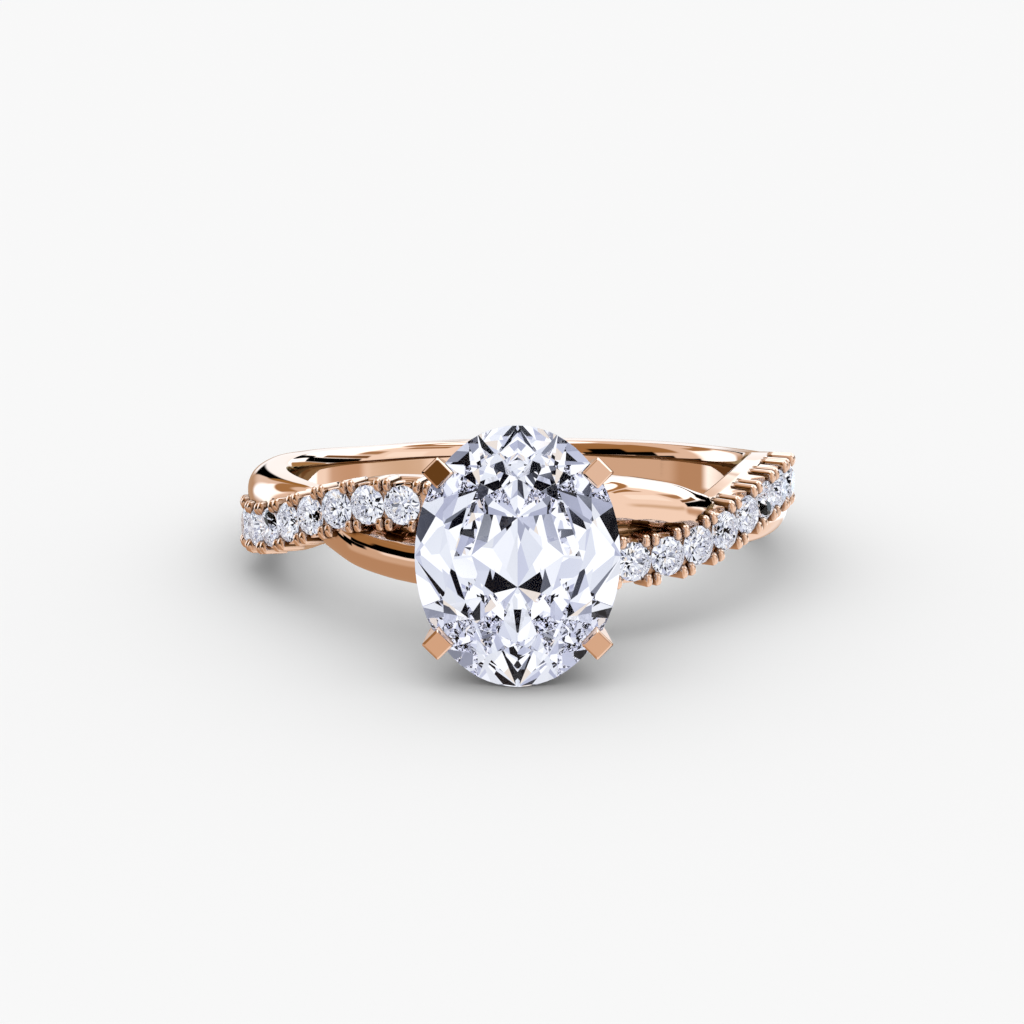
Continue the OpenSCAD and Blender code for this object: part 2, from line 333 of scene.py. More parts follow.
class Workshop:
    """Makes Blender objects of the ring's pieces and enters them in the frame."""

    def __init__(self, ring: RingFrame) -> None:
        """Keep the frame that all pieces are placed in.

        Args:
            ring: The ring's frame.
        """
        self.ring = ring
        self.made: list[bpy.types.Object] = []

    def piece(
        self,
        name: str,
        shape: Shape,
        materials: Sequence[bpy.types.Material],
        slot: Slot,
        stands_for: Sequence[str],
        rounded: bool = False,
        in_mirrors: bool = True,
    ) -> None:
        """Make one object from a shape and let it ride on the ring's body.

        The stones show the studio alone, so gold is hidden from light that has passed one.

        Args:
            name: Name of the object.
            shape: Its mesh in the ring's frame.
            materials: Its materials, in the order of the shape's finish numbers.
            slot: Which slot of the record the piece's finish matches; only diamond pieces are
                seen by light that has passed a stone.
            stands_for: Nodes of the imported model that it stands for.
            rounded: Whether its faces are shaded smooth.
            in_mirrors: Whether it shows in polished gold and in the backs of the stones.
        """
        mesh = bpy.data.meshes.new(name)
        points = self.ring.to_model(np.array(shape.points))
        mesh.from_pydata(points.tolist(), [], shape.faces)
        for material in materials:
            mesh.materials.append(material)
        mesh.polygons.foreach_set("material_index", shape.finish)
        mesh.polygons.foreach_set("use_smooth", [rounded] * len(shape.faces))
        mesh.validate()
        mesh.update()
        obj = bpy.data.objects.new(name, mesh)
        bpy.context.scene.collection.objects.link(obj)
        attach(obj, "root")
        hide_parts(*stands_for)
        obj.visible_transmission = slot is Slot.DIAMOND
        obj.visible_glossy = in_mirrors
        self.made.append(obj)


# The hoop


@dataclass
class Hoop:
    """The hoop: back shank, plain strand and the rail that carries the small stones.

    Lengths are in millimetres, and angles in degrees from the head. A curve is the
    exponent of a strand's rounding, 2 for an ellipse. The rail's places lie across it, from
    its middle to its edge.
    """

    sizes: Sizes
    course: Course
    back_from: float = 96.0
    back_span: float = 60.0
    back_curve: float = 0.8
    dip_at: float = 52.0
    dip_span: float = 17.0
    waist: float = 0.7
    sunk: float = 0.3
    edge_round: float = 0.28
    edge_high: float = 0.5
    edge_steps: int = 14
    crease: float = 75.0
    bore_steps: int = 9
    fillet: float = 0.05
    plain_curve: float = 2.3
    rail_curve: float = 3.0
    base_curve: float = 5.0
    wall_half: float = 0.8
    wall_edge: float = 0.05
    seat_floor: float = 0.98
    seat_half: float = 0.665
    seat_gap: float = 0.02
    web_half: float = 0.1
    cut_depth: float = 0.42
    cut_half: float = 0.3
    cut_from: float = 0.42
    cut_edge: float = 0.22
    start_gap: float = 0.6
    start_span: float = 3.5
    end_gap: float = 1.2
    end_span: float = 5.0
    before_stones: float = 5.0
    past_stones: float = 8.0
    front_steps: float = 0.8
    set_steps: float = 0.22
    back_steps: float = 0.9
    flank_start: float = 1.003
    flank_least: float = 0.004
    flank_steps: int = 26
    flank_edge: float = 0.0015
    flank_fade: float = 0.3
    rail_cover: float = 0.999
    rail_places: tuple[float, ...] = (
        0.0, 0.15, 0.3, 0.4, 0.48, 0.54, 0.6, 0.66, 0.71, 0.75,
        0.765, 0.78, 0.795, 0.81, 0.83, 0.85, 0.865, 0.875, 0.883, 0.888,
    )

    def __post_init__(self) -> None:
        """Work out where the stones and the claws between them stand."""
        s = self.sizes
        self.bore_r = s.bore_r
        self.waist_r = s.bore_r + self.waist
        self.web_r = s.bore_r + s.web_t
        self.stones = self._stone_angles()
        pairs = list(zip(self.stones[:-1], self.stones[1:]))
        mids = [(a + b) / 2 for a, b in pairs]
        first = 2 * self.stones[0] - mids[0]
        last = 1.5 * self.stones[-1] - 0.5 * self.stones[-2]
        self.posts = [first, *mids, last]

    def _stone_angles(self) -> list[float]:
        """Work out where the small stones sit, at an even pitch along the strand.

        Returns:
            Their angles on one side of the head.
        """
        s = self.sizes
        step = math.degrees((s.stone_d + s.stone_gap) / s.stone_r)
        angles = [s.first_stone]
        while len(angles) < s.stones_a_side:
            a = angles[-1]
            lean = float(self.course.slant(np.array(a + step / 2), s.stone_r))
            angles.append(a + step * math.cos(lean))
        return angles

    def across(self, angle: Points, u: Points) -> tuple[Points, Points]:
        """Angle and height of points that lie square across the stone strand.

        Args:
            angle: Angles at which the strand's middle is crossed.
            u: Distances from the strand's middle, positive upwards.

        Returns:
            The angles and the heights of the points.
        """
        slant = self.course.slant(angle, self.sizes.stone_r)
        turn = np.degrees(u * np.sin(slant) / self.sizes.stone_r)
        return angle - turn, self.course.stone_z(angle) + u * np.cos(slant)

    def _to_back(self, angle: Points) -> Points:
        """0 at the split strands, 1 where they have become one back shank."""
        return smooth((np.abs(angle) - self.back_from) / self.back_span)

    def plain_half(self, angle: Points) -> Points:
        """Half width of the plain strand."""
        s = self.sizes
        return (s.plain_w + (s.shank_w - s.plain_w) * self._to_back(angle)) / 2

    def rail_half(self, angle: Points) -> Points:
        """Half width of the stone strand."""
        s = self.sizes
        return (s.rail_w + (s.shank_w - s.rail_w) * self._to_back(angle)) / 2

    def _dome(self, share: Points, top: Points, curve: Points) -> Points:
        """Radius of a rounded strand.

        Args:
            share: Distance from the strand's middle as a share of its half width.
            top: Radius of the strand's top.
            curve: Exponent of its rounding, 2 for an ellipse.

        Returns:
            The radius, far inside the web where the share passes 1.
        """
        inside = np.clip(1 - np.clip(share, 0, 1) ** curve, 0, 1)
        r = self.waist_r + (top - self.waist_r) * inside ** (1 / curve)
        return np.where(share < 1, r, self.web_r - self.sunk)

    def plain_surface(self, angle: Points, z: Points) -> Points:
        """Radius of the plain strand's face.

        Args:
            angle: Angles from the head.
            z: Heights along the finger.

        Returns:
            The radii, with the dip below the stone strand.
        """
        s = self.sizes
        dip = s.dip * (1 - smooth(np.abs(np.abs(angle) - self.dip_at) / self.dip_span))
        share = np.abs(z - self.course.plain_z(angle)) / self.plain_half(angle)
        curve = self.plain_curve + self.back_curve * self._to_back(angle)
        return self._dome(share, s.shank_r - dip, curve)

    def rail_surface(self, angle: Points, u: Points) -> Points:
        """Radius of the stone strand's face.

        Args:
            angle: Angles at which the strand's middle is crossed.
            u: Distances across the strand.

        Returns:
            The radii, with the seats and the cuts beside the stones.
        """
        s = self.sizes
        share = np.abs(u) / self.rail_half(angle)
        bare = self._dome(share, s.shank_r, self.rail_curve)
        base = self._dome(share, self.bore_r + s.rail_base_h, self.base_curve)
        along = self._to_stone(angle)
        beside = 1 - smooth((np.abs(along) - self.web_half) / self.cut_half)
        outer = smooth((np.abs(u) - self.cut_from) / self.cut_edge)
        top = self.bore_r + s.rail_h - self.seat_gap - self.cut_depth * beside * outer
        wall = smooth((self.wall_half - np.abs(u)) / self.wall_edge)
        raised = base + (np.maximum(top, base) - base) * wall
        away = np.hypot(along, u) / self.seat_half
        floor = self.bore_r + self.seat_floor
        cone = floor + (self.bore_r + s.girdle_h - self.seat_gap - floor) * away
        seated = np.where(away < 1, np.minimum(raised, cone), raised)
        a = np.abs(angle)
        before = smooth((self.posts[0] - self.start_gap - a) / self.start_span)
        past = smooth((a - self.posts[-1] - self.end_gap) / self.end_span)
        return seated + (bare - seated) * np.maximum(before, past)

    def _to_stone(self, angle: Points) -> Points:
        """Measure along the strand to the nearest small stone.

        Args:
            angle: Angles from the head, on either side.

        Returns:
            The distances, negative before the stone and positive past it.
        """
        slant = self.course.slant(angle, self.sizes.stone_r)
        off = np.abs(angle)[..., None] - np.array(self.stones)
        nearest = np.take_along_axis(off, np.abs(off).argmin(-1)[..., None], -1)[..., 0]
        return nearest * (math.radians(1) * self.sizes.stone_r / np.cos(slant))

    def _angles(self) -> Points:
        """Choose the stations round the hoop, close together where the stones are.

        Returns:
            The stations, from just above -180 to 180 degrees.
        """
        inner = self.posts[0] - self.before_stones
        outer = self.posts[-1] + self.past_stones
        front = np.arange(0.0, inner, self.front_steps)
        zone = np.arange(inner, outer, self.set_steps)
        back = np.arange(outer, 180.0, self.back_steps)
        half = np.concatenate([front, zone, back, [180.0]])
        return np.concatenate([-half[-2:0:-1], half])

    def build(self) -> Shape:
        """Build the hoop as one closed skin.

        Returns:
            The hoop's shape.
        """
        angles = self._angles()
        places = np.array(self.rail_places)
        places = places / places[-1] * self.rail_cover
        shares = np.concatenate([-places[:0:-1], places])
        at = np.repeat(angles[:, None], len(shares), 1)
        u = shares[None, :] * self.rail_half(angles)[:, None]
        angle, z = self.across(at, u)
        radius = soft_max(self.rail_surface(at, u), self.plain_surface(angle, z), self.fillet)
        below = self._flank(angles, -1)
        above = self._flank(angles, 1)
        low = [part[:, 0] for part in below]
        high = [part[:, -1] for part in above]
        bands = (below, (angle, z, radius), above, self._inside(high, low))
        angle, z, radius = (np.concatenate(parts, 1) for parts in zip(*bands))
        shape = Shape()
        shape.add_loft(on_hoop(radius, angle, z), closed=True)
        return shape

    def _flank(self, angles: Points, side: int) -> tuple[Points, Points, Points]:
        """The face beside the stone strand, out to the ring's edge.

        Args:
            angles: The stations.
            side: 1 above the stone strand, -1 below it.

        Returns:
            Angles, heights and radii, from below to above.
        """
        half = self.rail_half(angles)
        foot_a, foot_z = self.across(angles, side * half * self.flank_start)
        plain = side * self.course.plain_z(foot_a)
        width = self.plain_half(foot_a)
        start = side * foot_z
        end = np.maximum(plain + width, start + self.flank_least)
        t = (1 - np.cos(np.linspace(0, math.pi, self.flank_steps))) / 2
        t = np.sort(np.concatenate([t, [self.flank_edge, 1 - self.flank_edge]]))
        z = start[:, None] + (end - start)[:, None] * t[None, :]
        at = np.repeat(foot_a[:, None], len(t), 1)
        web = np.full_like(z, self.web_r)
        open_r = soft_max(self.plain_surface(at, side * z), web, self.fillet)
        wall_r = self.waist_r + (self.bore_r + self.edge_round - self.waist_r) * t[None, :]
        shown = smooth((plain + width - start) / self.flank_fade)[:, None]
        r = wall_r + (np.maximum(open_r, self.web_r) - wall_r) * shown
        z = side * z
        if side < 0:
            return at[:, ::-1], z[:, ::-1], r[:, ::-1]
        return at, z, r

    def _inside(
        self, high: Sequence[Points], low: Sequence[Points]
    ) -> tuple[Points, Points, Points]:
        """The finger hole's face, with a rounded edge at each side.

        Args:
            high: Angles, heights and radii of the upper edge.
            low: The same of the lower edge.

        Returns:
            Angles, heights and radii, from above to below.
        """
        last = math.radians(self.crease)
        turn = np.linspace(0, last, self.edge_steps)
        inwards = self.edge_high * (1 - np.cos(turn)) / (1 - math.cos(last))
        top_z = high[1][:, None] - inwards[None, :]
        low_z = low[1][:, None] + inwards[::-1][None, :]
        corner = self.bore_r + self.edge_round * (1 - np.sin(turn) / math.sin(last))
        share = np.linspace(0, 1, self.bore_steps)[None, 1:-1]
        flat_z = top_z[:, -1:] + (low_z[:, :1] - top_z[:, -1:]) * share
        z = np.concatenate([top_z, flat_z, low_z], 1)
        r_row = np.concatenate([corner, np.full(share.shape[1], self.bore_r), corner[::-1]])
        r = np.repeat(r_row[None, :], len(z), 0)
        w = (high[1][:, None] - z) / (high[1] - low[1])[:, None]
        angle = high[0][:, None] * (1 - w) + low[0][:, None] * w
        return angle, z, r

    def make(self, shop: Workshop, gold: bpy.types.Material) -> None:
        """Build the hoop and dress it in gold."""
        shop.piece("hoop", self.build(), [gold], Slot.GOLD, MOUNT, rounded=True)


@dataclass
class Claws:
    """The bead claws: a pair on each edge of the rail between neighbouring stones."""

    hoop: Hoop
    long: float = 0.33
    wide: float = 0.46
    grow: float = 0.04
    spread: float = 0.185
    stand: float = 0.735
    lean_in: float = 0.04
    foot_h: float = 0.9
    tip_h: float = 1.9
    shoulder: float = 0.8
    blunt: float = 0.001
    rounding: float = 2.8
    stem_rings: int = 5
    cap_rings: int = 8
    around: int = 18

    def build(self) -> Shape:
        """Build all claws of both sides.

        Returns:
            The claws' shape.
        """
        shape = Shape()
        for side in Side:
            for post in self.hoop.posts:
                for edge in (-1, 1):
                    for mate in (-1, 1):
                        self._claw(shape, side.value * post, edge, mate)
        return shape

    def _claw(self, shape: Shape, post: float, edge: int, mate: int) -> None:
        """Add one claw.

        Args:
            shape: The shape it goes into.
            post: Angle of the pair it belongs to.
            edge: 1 on the upper edge of the rail, -1 on the lower one.
            mate: 1 or -1, the claw of the pair in that direction along the strand.
        """
        s = self.hoop.sizes
        cap = np.sin(np.linspace(0, math.pi / 2, self.cap_rings + 1))[1:]
        stem = np.linspace(0, self.shoulder, self.stem_rings)
        up = np.concatenate([stem, self.shoulder + (1 - self.shoulder) * cap])
        swell = np.concatenate([np.ones_like(stem), np.sqrt(1 + self.blunt - cap**2)])
        bend = smooth(up / self.shoulder)
        turn = np.linspace(0, math.tau, self.around, endpoint=False)
        c, v = np.cos(turn), np.sin(turn)
        power = 2 / self.rounding
        ring_x = np.sign(c) * np.abs(c) ** power * self.long / 2
        ring_y = np.sign(v) * np.abs(v) ** power * self.wide / 2
        slant = float(self.hoop.course.slant(np.array(post), s.stone_r))
        z = float(self.hoop.course.stone_z(np.array(post)))
        degrees = math.degrees(1 / s.stone_r)
        rings = []
        for i, share in enumerate(up):
            along = mate * self.spread + ring_x * swell[i]
            over = edge * (self.stand - self.lean_in * bend[i])
            over = over + ring_y * swell[i] * (1 + self.grow / self.wide * bend[i])
            arc = along * math.cos(slant) - over * math.sin(slant)
            height = z + along * math.sin(slant) + over * math.cos(slant)
            r = s.bore_r + self.foot_h + (self.tip_h - self.foot_h) * share
            rings.append(on_hoop(np.full_like(arc, r), post + arc * degrees, height))
        shape.add_loft(np.array(rings))

    def make(self, shop: Workshop, gold: bpy.types.Material) -> None:
        """Build the claws and dress them in gold."""
        # Their gold carries a stronger painted shade in the gaps between them.
        shape = self.build()
        shop.piece("claws", shape, [gold], Slot.GOLD, MOUNT, rounded=True, in_mirrors=False)


# The head


@dataclass
class Head:
    """The four-prong head with its gallery rail.

    Each row of tilts is the side of a prong in x and z, and how many degrees its tip tilts
    along each.
    """

    sizes: Sizes
    bevel: float = 0.07
    edge: float = 0.05
    crisp: float = 0.02
    nick: float = 0.004
    inset: float = 0.03
    foot_sink: float = 0.5
    knee_drop: float = 0.4
    knee_lean: float = 0.6
    foot_size: float = 0.9
    gallery_size: float = 0.94
    gallery_steps: int = 96
    gallery_around: int = 20
    tilts: tuple[tuple[int, int, float, float], ...] = (
        (-1, 1, 9.0, -8.5),
        (1, 1, -10.0, -3.0),
        (-1, -1, -4.0, 4.0),
        (1, -1, -7.0, 3.0),
    )

    def __post_init__(self) -> None:
        """Work out how far the prongs reach."""
        self.tip_r = self.sizes.oval_r + self.sizes.prong_tip
        self.foot_r = self.sizes.shank_r - self.foot_sink

    def middle(self, share: float) -> Points:
        """Middle of the prong where x and z are positive.

        Args:
            share: Place along the prong, 0 at its foot and 1 at its tip.

        Returns:
            The middle's x and z.
        """
        s = self.sizes
        foot = np.array([s.foot_x, s.foot_z])
        tip = np.array([s.tip_x * s.oval_w / 2, s.tip_z * s.oval_l / 2])
        return foot + (tip - foot) * share

    def _rim(self, half: float) -> Points:
        """A square that stands on its corner, with its corners cut.

        Args:
            half: Distance from the middle to a corner.

        Returns:
            Offsets in x and z.
        """
        corners = np.array([(1, 0), (0, 1), (-1, 0), (0, -1)], float) * half
        rim = []
        for d, e in zip(corners, np.roll(corners, -1, axis=0)):
            rim += [d * (1 - share) + e * share for share in (self.edge, 0.5, 1 - self.edge)]
        return np.array(rim)

    def prongs(self) -> Shape:
        """Build the four prongs, each with a flat tip and a bright bevel round it.

        Returns:
            The prongs' shape.
        """
        half = self.sizes.prong_side / math.sqrt(2)
        knee_r = self.sizes.oval_r - self.knee_drop
        lean = (self.tip_r - knee_r) / (self.tip_r - self.foot_r)
        flat = half - self.bevel
        rows = (
            (0.0, self.foot_r, half * self.foot_size, 0.0),
            (1 - lean * self.knee_lean, knee_r, half, 0.0),
            (1.0, self.tip_r - self.bevel - self.crisp, half, 0.5),
            (1.0, self.tip_r - self.bevel, half - self.nick, 1.0),
            (1.0, self.tip_r - self.crisp, flat, 1.0),
            (1.0, self.tip_r, flat - self.inset, 1.0),
        )
        shape = Shape()
        for x_side, z_side, tilt_x, tilt_z in self.tilts:
            tilt = np.tan(np.radians([tilt_x, tilt_z]))
            rings = []
            for share, r, size, tilted in rows:
                m = self.middle(share) * (x_side, z_side)
                rim = self._rim(size)
                rise = rim @ tilt
                y = -(r + rise * tilted - np.abs(rise).max() * tilted * 0.5)
                rings.append(np.stack([m[0] + rim[:, 0], y, m[1] + rim[:, 1]], 1))
            shape.add_loft(np.array(rings)[:, ::-1])
        return shape

    def gallery(self) -> Shape:
        """Build the oval rail that ties the prongs together below the stone.

        Returns:
            The gallery's shape.
        """
        s = self.sizes
        middle_r = s.bore_r + s.gallery_h
        middle = self.middle((middle_r - self.foot_r) / (self.tip_r - self.foot_r))
        half = middle * math.sqrt(2) * self.gallery_size
        u = np.linspace(0, math.tau, self.gallery_around, endpoint=False)
        wide = s.gallery_d / 2 * np.cos(u)
        y = -middle_r - s.gallery_d / 2 * np.sin(u)
        rings = []
        for t in np.linspace(0, math.tau, self.gallery_steps, endpoint=False):
            out = np.array([math.cos(t) / middle[0], math.sin(t) / middle[1]])
            out /= np.linalg.norm(out)
            x = half[0] * math.cos(t) + out[0] * wide
            z = half[1] * math.sin(t) + out[1] * wide
            rings.append(np.stack([x, y, z], 1))
        shape = Shape()
        shape.add_loft(np.array(rings), closed=True)
        return shape

    def make(self, shop: Workshop, gold: bpy.types.Material) -> None:
        """Build the gallery rail and the prongs and dress them in gold."""
        shop.piece("gallery_rail", self.gallery(), [gold], Slot.GOLD, MOUNT, rounded=True)
        shop.piece("prongs", self.prongs(), [gold], Slot.GOLD, MOUNT, in_mirrors=False)


# The stones


@dataclass
class Brilliant:
    """A brilliant cut about the middle of its girdle, Z towards its table.

    Depths and the keel's half length are in millimetres, and the places of the facets'
    corners are shares of the girdle's radius. A bulge splits each main facet of the
    pavilion.
    """

    length: float
    width: float
    crown: float
    girdle: float
    pavilion: float
    table: float = 0.58
    star: float = 0.78
    lower_half: float = 0.25
    keel: float = 0.0
    split: float = 0.0
    bulge: float = 0.0
    rim_steps: int = 1
    near_axis: float = 1e-6

    def _around(self, radius: float, index: Points, count: int, height: Points) -> Points:
        """Points on a circle that is stretched to the stone's outline.

        Args:
            radius: Radius as a share of the girdle's.
            index: Which of the points are wanted.
            count: How many points go round.
            height: Their height, or one for each.

        Returns:
            The points.
        """
        a = np.radians(index * 360.0 / count)
        x = radius * np.cos(a) * self.length / 2
        y = radius * np.sin(a) * self.width / 2
        return np.stack([x, y, np.broadcast_to(height, x.shape)], 1)

    def _drop(self, index: Points, mid: float, height: float) -> Points:
        """Height lost by a half facet where the round rim passes outside its edge.

        Args:
            index: Places on the rim.
            mid: Radius of the facet's inner corner, as a share of the girdle's.
            height: Height of that corner above the rim.

        Returns:
            The height lost at each place.
        """
        f = (index % self.rim_steps) * (EIGHTH / 2 / self.rim_steps)
        h = EIGHTH / 4
        return height * (np.cos(f - h) - math.cos(h)) / (math.cos(h) * (1 - mid))

    def _pavilion(self) -> tuple[Points, Points, Points]:
        """Corners of the pavilion, with every facet flat.

        Returns:
            The rim's points, the inner corners of the lower halves, and the ends of the
            keel, or the culet alone.
        """
        n = 16 * self.rim_steps
        g = self.girdle / 2
        deep = -g - self.pavilion
        ends = np.array([[self.keel, 0.0, deep], [-self.keel, 0.0, deep]])
        rim = self._around(1.0, np.arange(n), n, -g)
        a = EIGHTH * np.arange(8)
        mains = rim[:: 2 * self.rim_steps]
        along = np.stack([-self.length * np.sin(a), self.width * np.cos(a), 0 * a], 1)
        under = np.stack([np.sign(np.round(np.cos(a), 6)) * self.keel, 0 * a, 0 * a + deep], 1)
        normals = np.cross(along, under - mains)
        height = -g - self.pavilion * (1 - self.lower_half * math.cos(EIGHTH / 2))
        low = []
        for i in range(8):
            k = (i + 1) % 8
            planes = np.array([normals[i], normals[k], [0.0, 0.0, 1.0]])
            meet = [normals[i] @ mains[i], normals[k] @ mains[k], height]
            low.append(np.linalg.solve(planes, meet))
        for j in range(0, n, self.rim_steps):
            corner = low[j // (2 * self.rim_steps)]
            start, end = rim[j], rim[(j + self.rim_steps) % n]
            facet = np.cross(start - corner, end - corner)
            for point in rim[j + 1: j + self.rim_steps]:
                point[2] = (facet @ corner - facet[:2] @ point[:2]) / facet[2]
        return rim, np.array(low), ends if self.keel else ends[:1]

    def _ridge(self, rim: Points, ends: Points) -> Points:
        """Raised middles that split each main facet of the pavilion.

        Args:
            rim: Points of the pavilion's rim.
            ends: Ends of the keel, or the culet alone.

        Returns:
            One point for each main facet, or none where there is no bulge.
        """
        if not self.bulge:
            return np.zeros((0, 3))
        mains = rim[:: 2 * self.rim_steps]
        right = mains[:, :1] > -self.near_axis
        left = mains[:, :1] < self.near_axis
        keel = (ends[0] * right + ends[-1] * left) / (1.0 * right + left)
        middles = keel + (mains - keel) * self.split
        middles[:, 2] -= self.bulge
        return middles

    def build(self) -> tuple[Points, list, list]:
        """Build the stone.

        Returns:
            Its points, its faces, and for each face 0 on the crown, 1 at the girdle and 2
            on the pavilion.
        """
        n = 16 * self.rim_steps
        span = 2 * self.rim_steps
        eight = np.arange(8)
        rim = np.arange(n)
        mid_h = self.crown / (1 - self.table) * (1 - self.star * math.cos(EIGHTH / 2))
        g = self.girdle / 2
        under_rim, low_points, ends = self._pavilion()
        points = np.concatenate([
            self._around(self.table, eight, 8, g + self.crown),
            self._around(self.star, eight + 0.5, 8, g + mid_h),
            self._around(1.0, rim, n, g - self._drop(rim, self.star, mid_h)),
            under_rim,
            low_points,
            ends,
            self._ridge(under_rim, ends),
        ])
        mid, top = 8, 16
        under = top + n
        low = under + n
        front, back = low + 8, low + 7 + len(ends)
        ridge = back + 1
        keels = [[front], [front], [front, back], [back], [back], [back], [back, front], [front]]
        above = [tuple(range(8))]
        above += [(i, mid + i, (i + 1) % 8) for i in range(8)]
        above += [(i, mid + (i + 7) % 8, top + i * span, mid + i) for i in range(8)]
        below = []
        for i in range(8):
            first = [top + i * span + j for j in range(self.rim_steps + 1)]
            second = [top + (i * span + j) % n for j in range(self.rim_steps, span + 1)]
            above += [(mid + i, *first), (mid + i, *second)]
            first = [under + i * span + j for j in range(self.rim_steps, -1, -1)]
            second = [under + (i * span + j) % n for j in range(span, self.rim_steps - 1, -1)]
            below += [(low + i, *first), (low + i, *second)]
            keel = list(dict.fromkeys(keels[i]))
            main = (*keel, low + i, under + i * span, low + (i + 7) % 8)
            if self.bulge:
                below += [(ridge + i, main[j - 1], main[j]) for j in range(len(main))]
            else:
                below.append(main)
        band = [(top + i, under + i, under + (i + 1) % n, top + (i + 1) % n) for i in range(n)]
        finish = [0] * len(above) + [1] * len(band) + [2] * len(below)
        return points, above + band + below, finish


@dataclass
class Stones:
    """The oval stone in the head and the small round stones in the rail."""

    hoop: Hoop
    small_d: float = 1.4
    twist_step: float = 17.0
    twist_left: float = 5.0

    def __post_init__(self) -> None:
        """Settle the two cuts."""
        s = self.hoop.sizes
        self.oval = Brilliant(
            length=s.oval_l,
            width=s.oval_w,
            crown=1.1,
            girdle=0.14,
            pavilion=3.0,
            table=0.63,
            lower_half=0.35,
            keel=1.2,
            split=0.45,
            bulge=0.1,
            rim_steps=4,
        )
        self.small = Brilliant(
            length=self.small_d, width=self.small_d, crown=0.2, girdle=0.04, pavilion=0.5
        )

    def oval_shape(self) -> Shape:
        """Build the oval stone in its place, its length along the finger.

        Returns:
            The stone's shape.
        """
        p, faces, finish = self.oval.build()
        placed = np.stack([-p[:, 1], -self.hoop.sizes.oval_r - p[:, 2], p[:, 0]], 1)
        shape = Shape()
        shape.add(placed, faces, finish)
        return shape

    def small_shape(self, side: Side, index: int) -> Shape:
        """Build one small stone in its seat, turned a little more than the one before.

        Args:
            side: Side of the head it lies on.
            index: Its place in the row, from 0.

        Returns:
            The stone's shape.
        """
        s = self.hoop.sizes
        course = self.hoop.course
        angle = side.value * self.hoop.stones[index]
        p, faces, finish = self.small.build()
        twist = self.twist_step * index + (self.twist_left if side is Side.LEFT else 0.0)
        turn = math.radians(twist) + float(course.slant(np.array(angle), s.stone_r))
        x = p[:, 0] * math.cos(turn) - p[:, 1] * math.sin(turn)
        y = p[:, 0] * math.sin(turn) + p[:, 1] * math.cos(turn)
        a = math.radians(angle)
        r = s.stone_r + p[:, 2]
        z = float(course.stone_z(np.array(angle))) + y
        out_x = r * math.sin(a) + x * math.cos(a)
        out_y = -r * math.cos(a) + x * math.sin(a)
        shape = Shape()
        shape.add(np.stack([out_x, out_y, z], 1), faces, finish)
        return shape

    def make(self, shop: Workshop, finishes: Finishes) -> None:
        """Build all stones and dress them.

        Args:
            shop: Maker of the objects.
            finishes: The ring's materials.
        """
        gems = [finishes.facet, finishes.girdle, finishes.back]
        shop.piece("oval_diamond", self.oval_shape(), gems, Slot.DIAMOND, ["oval_stone"])
        gems = [finishes.small_facet, finishes.girdle, finishes.back]
        for side in Side:
            for k in range(self.hoop.sizes.stones_a_side):
                node = f"{side.name.lower()}_stone_{k + 1}"
                shop.piece(f"{node}_cut", self.small_shape(side, k), gems, Slot.DIAMOND, [node])


# Finishes


class Nodes:
    """Short helpers for one node tree."""

    def __init__(self, tree: bpy.types.NodeTree) -> None:
        """Keep the tree.

        Args:
            tree: The node tree that nodes are added to.
        """
        self.tree = tree

    def add(self, kind: str, values: dict | None = None, **settings: object) -> bpy.types.Node:
        """Add a node.

        Args:
            kind: Blender's name of the node type.
            values: Values of its inputs by name or number.
            **settings: Properties of the node.

        Returns:
            The new node.
        """
        node = self.tree.nodes.new(kind)
        for key, value in settings.items():
            setattr(node, key, value)
        for key, value in (values or {}).items():
            node.inputs[key].default_value = value
        return node

    def link(self, source: bpy.types.NodeSocket, target: bpy.types.NodeSocket) -> None:
        """Link an output to an input."""
        self.tree.links.new(source, target)

    def math(self, operation: str, a: object, b: object = 0.0, c: object = 0.0) -> object:
        """Add a Math node.

        Args:
            operation: Blender's name of the operation.
            a: First value or the output that gives it.
            b: Second value or output.
            c: Third value or output.

        Returns:
            The node's output.
        """
        node = self.add("ShaderNodeMath", operation=operation)
        for i, value in enumerate((a, b, c)):
            if isinstance(value, bpy.types.NodeSocket):
                self.link(value, node.inputs[i])
            else:
                node.inputs[i].default_value = value
        return node.outputs[0]

    def mix(self, factor: object, a: object, b: object) -> object:
        """Mix two colours.

        Args:
            factor: Share of the second colour.
            a: First colour or the output that gives it.
            b: Second colour or output.

        Returns:
            The mixed colour's output.
        """
        node = self.add("ShaderNodeMix", data_type="RGBA")
        for socket, value in ((node.inputs[0], factor), (node.inputs[6], a), (node.inputs[7], b)):
            if isinstance(value, bpy.types.NodeSocket):
                self.link(value, socket)
            elif isinstance(value, tuple):
                socket.default_value = (*value, 1.0)
            else:
                socket.default_value = value
        return node.outputs[2]


def node_group(name: str, given: Sequence[str], put_out: Sequence[str]) -> bpy.types.NodeTree:
    """Start a shader node group whose sockets are all plain numbers.

    Args:
        name: Name of the group.
        given: Names of its inputs.
        put_out: Names of its outputs.

    Returns:
        The group, still empty.
    """
    tree = bpy.data.node_groups.new(name, "ShaderNodeTree")
    for way, sockets in (("INPUT", given), ("OUTPUT", put_out)):
        for socket in sockets:
            tree.interface.new_socket(socket, in_out=way, socket_type="NodeSocketFloat")
    return tree


